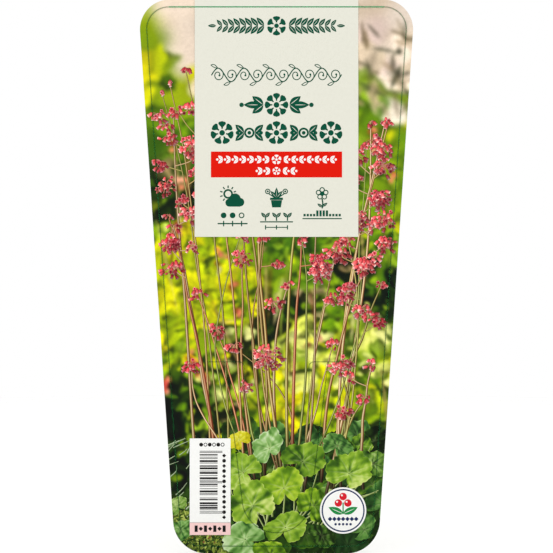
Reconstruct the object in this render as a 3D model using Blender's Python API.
"""A printed plant label, die-cut from one plastic sheet, that hangs on the rim of a nursery pot.

The label stands upright. X runs across it, Z runs up it, and its printed face looks along -Y.
The origin is on the back face, at the middle of the line where the tongue bends back over
the rim, so what is above the rim has a positive Z and what is below it a negative one.
"""

import math

import bmesh
import bpy
from mathutils import Vector

# The sheet, in metres. The widths are those of the trapezium that the corners are rounded from.
THICKNESS = 0.0006
HEIGHT = 0.2222
TOP_WIDTH = 0.1112
BOTTOM_WIDTH = 0.0812
TOP_CORNER_RADIUS = 0.0120
BOTTOM_CORNER_RADIUS = 0.0136

# The height of the rim line above the label's bottom edge.
RIM_LINE_HEIGHT = 0.0769

# The tongue is cut free down both sides and round its tip, and narrows evenly to the tip.
KERF = 0.0002
TONGUE_LENGTH = 0.0685
TONGUE_TOP_WIDTH = 0.0414
TONGUE_TIP_RADIUS = 0.0138

# A relief cut on each side runs in along the rim line, turns and goes down beside the neck,
# which is the only strip that joins the tongue to the label.
RELIEF_SPAN = 0.0552
NECK_WIDTH = 0.0260
NECK_LENGTH = 0.0200
RELIEF_TURN_RADIUS = 0.0020

# How many straight pieces stand for a quarter of a circle on the outline and on the cuts.
CORNER_STEPS = 20
CUT_STEPS = 8

PLASTIC_COLOUR = (0.88, 0.88, 0.86, 1.0)
PLASTIC_ROUGHNESS = 0.38


def clear_scene():
    """Remove whatever the scene starts with."""
    for item in list(bpy.data.objects):
        bpy.data.objects.remove(item, do_unlink=True)


def new_collection(name):
    """Add a collection to the scene."""
    collection = bpy.data.collections.new(name)
    bpy.context.scene.collection.children.link(collection)
    return collection


def plastic_material():
    """White polypropylene sheet with a satin face."""
    material = bpy.data.materials.new("label_plastic")
    material.use_nodes = True
    shader = material.node_tree.nodes["Principled BSDF"]
    shader.inputs["Base Color"].default_value = PLASTIC_COLOUR
    shader.inputs["Roughness"].default_value = PLASTIC_ROUGHNESS
    shader.inputs["Metallic"].default_value = 0.0
    return material


def arc(centre, radius, start, end, steps):
    """Points along an arc, both ends included. Angles are in radians, from +X."""
    points = []
    for step in range(steps + 1):
        angle = start + (end - start) * step / steps
        points.append(centre + radius * Vector((math.cos(angle), math.sin(angle))))
    return points


def rounded_polygon(corners, radii, steps):
    """The outline of a convex polygon, given anticlockwise, with each corner rounded."""
    outline = []
    for index, corner in enumerate(corners):
        to_last = (corners[index - 1] - corner).normalized()
        to_next = (corners[(index + 1) % len(corners)] - corner).normalized()
        half_angle = to_last.angle(to_next) / 2
        centre_way = (to_last + to_next).normalized()
        centre = corner + centre_way * radii[index] / math.sin(half_angle)
        turn = math.pi / 2 - half_angle
        middle = math.atan2(-centre_way.y, -centre_way.x)
        outline += arc(centre, radii[index], middle - turn, middle + turn, steps)
    return outline


def stroke_outline(path, width, steps):
    """The outline of a line of the given width drawn along a path, with round ends."""
    half = width / 2
    sides = {1: [], -1: []}
    for index, point in enumerate(path):
        before = point - path[max(index - 1, 0)]
        after = path[min(index + 1, len(path) - 1)] - point
        along = (before.normalized() + after.normalized()).normalized()
        normal = Vector((-along.y, along.x))
        for side in sides:
            sides[side].append(point + side * half * normal)
    last = math.atan2(*reversed(path[-1] - path[-2]))
    first = math.atan2(*reversed(path[0] - path[1]))
    quarter = math.pi / 2
    end_cap = arc(path[-1], half, last - quarter, last + quarter, 2 * steps)[1:-1]
    start_cap = arc(path[0], half, first - quarter, first + quarter, 2 * steps)[1:-1]
    return sides[-1] + end_cap + sides[1][::-1] + start_cap


def upright_plate(name, outline, thickness, front, collection):
    """A flat plate with an XZ outline, whose front face is at Y = front."""
    curve = bpy.data.curves.new(name, "CURVE")
    curve.dimensions = "2D"
    curve.fill_mode = "BOTH"
    curve.extrude = thickness / 2
    spline = curve.splines.new("POLY")
    spline.points.add(len(outline) - 1)
    for spline_point, point in zip(spline.points, outline):
        spline_point.co = (point.x, point.y, 0.0, 1.0)
    spline.use_cyclic_u = True

    drawn = bpy.data.objects.new(name + "_curve", curve)
    drawn.rotation_euler = (math.radians(90), 0.0, 0.0)
    drawn.location = (0.0, front + thickness / 2, 0.0)
    collection.objects.link(drawn)
    bpy.context.view_layer.update()

    depsgraph = bpy.context.evaluated_depsgraph_get()
    mesh = bpy.data.meshes.new_from_object(drawn.evaluated_get(depsgraph))
    mesh.name = name
    welded = bmesh.new()
    welded.from_mesh(mesh)
    bmesh.ops.remove_doubles(welded, verts=welded.verts, dist=1e-7)
    bmesh.ops.recalc_face_normals(welded, faces=welded.faces)
    welded.to_mesh(mesh)
    welded.free()

    plate = bpy.data.objects.new(name, mesh)
    plate.matrix_world = drawn.matrix_world.copy()
    collection.objects.link(plate)
    bpy.data.objects.remove(drawn, do_unlink=True)
    return plate


def sheet_outline():
    """The tapered outline, wider at the top, with four round corners."""
    bottom = -RIM_LINE_HEIGHT
    top = HEIGHT - RIM_LINE_HEIGHT
    corners = [
        Vector((-BOTTOM_WIDTH / 2, bottom)),
        Vector((BOTTOM_WIDTH / 2, bottom)),
        Vector((TOP_WIDTH / 2, top)),
        Vector((-TOP_WIDTH / 2, top)),
    ]
    radii = [BOTTOM_CORNER_RADIUS] * 2 + [TOP_CORNER_RADIUS] * 2
    return rounded_polygon(corners, radii, CORNER_STEPS)


def tongue_cut():
    """The middle line of the cut down both sides of the tongue and round its tip.

    Each side is the tangent from the top of the tongue to the circle of its tip. It starts a
    quarter of a kerf under the rim line, so that its round end stays inside the relief cut.
    """
    centre = Vector((0.0, TONGUE_TIP_RADIUS - TONGUE_LENGTH))
    shoulder = Vector((TONGUE_TOP_WIDTH / 2, -KERF / 4))
    reach = shoulder - centre
    tangent = math.atan2(reach.y, reach.x) - math.acos(TONGUE_TIP_RADIUS / reach.length)
    tip = arc(centre, TONGUE_TIP_RADIUS, -math.pi - tangent, tangent, 4 * CUT_STEPS)
    return [Vector((-shoulder.x, shoulder.y))] + tip + [shoulder]


def relief_cut(side):
    """The middle line of one relief cut, on the side of +X for 1 or -X for -1."""
    turn = Vector((NECK_WIDTH / 2 + RELIEF_TURN_RADIUS, -RELIEF_TURN_RADIUS))
    path = [Vector((RELIEF_SPAN / 2, 0.0))]
    path += arc(turn, RELIEF_TURN_RADIUS, math.pi / 2, math.pi, CUT_STEPS)
    path.append(Vector((NECK_WIDTH / 2, -NECK_LENGTH)))
    return [Vector((side * point.x, point.y)) for point in path]


def cut_through(plate, name, path, collection):
    """Cut a line of one kerf's width through the plate, along a path."""
    depth = 4 * THICKNESS
    outline = stroke_outline(path, KERF, CUT_STEPS)
    cutter = upright_plate(name, outline, depth, -THICKNESS / 2 - depth / 2, collection)
    cutter.hide_render = True
    cutter.display_type = "WIRE"
    cut = plate.modifiers.new(name, "BOOLEAN")
    cut.operation = "DIFFERENCE"
    cut.solver = "EXACT"
    cut.object = cutter


def build_label():
    """Make the sheet and cut its tongue."""
    label = new_collection("plant_label")
    cutters = new_collection("cutters")
    card = upright_plate("label_card", sheet_outline(), THICKNESS, -THICKNESS, label)
    card.data.materials.append(plastic_material())
    cut_through(card, "tongue_cutter", tongue_cut(), cutters)
    cut_through(card, "relief_cutter_right", relief_cut(1), cutters)
    cut_through(card, "relief_cutter_left", relief_cut(-1), cutters)


clear_scene()
build_label()
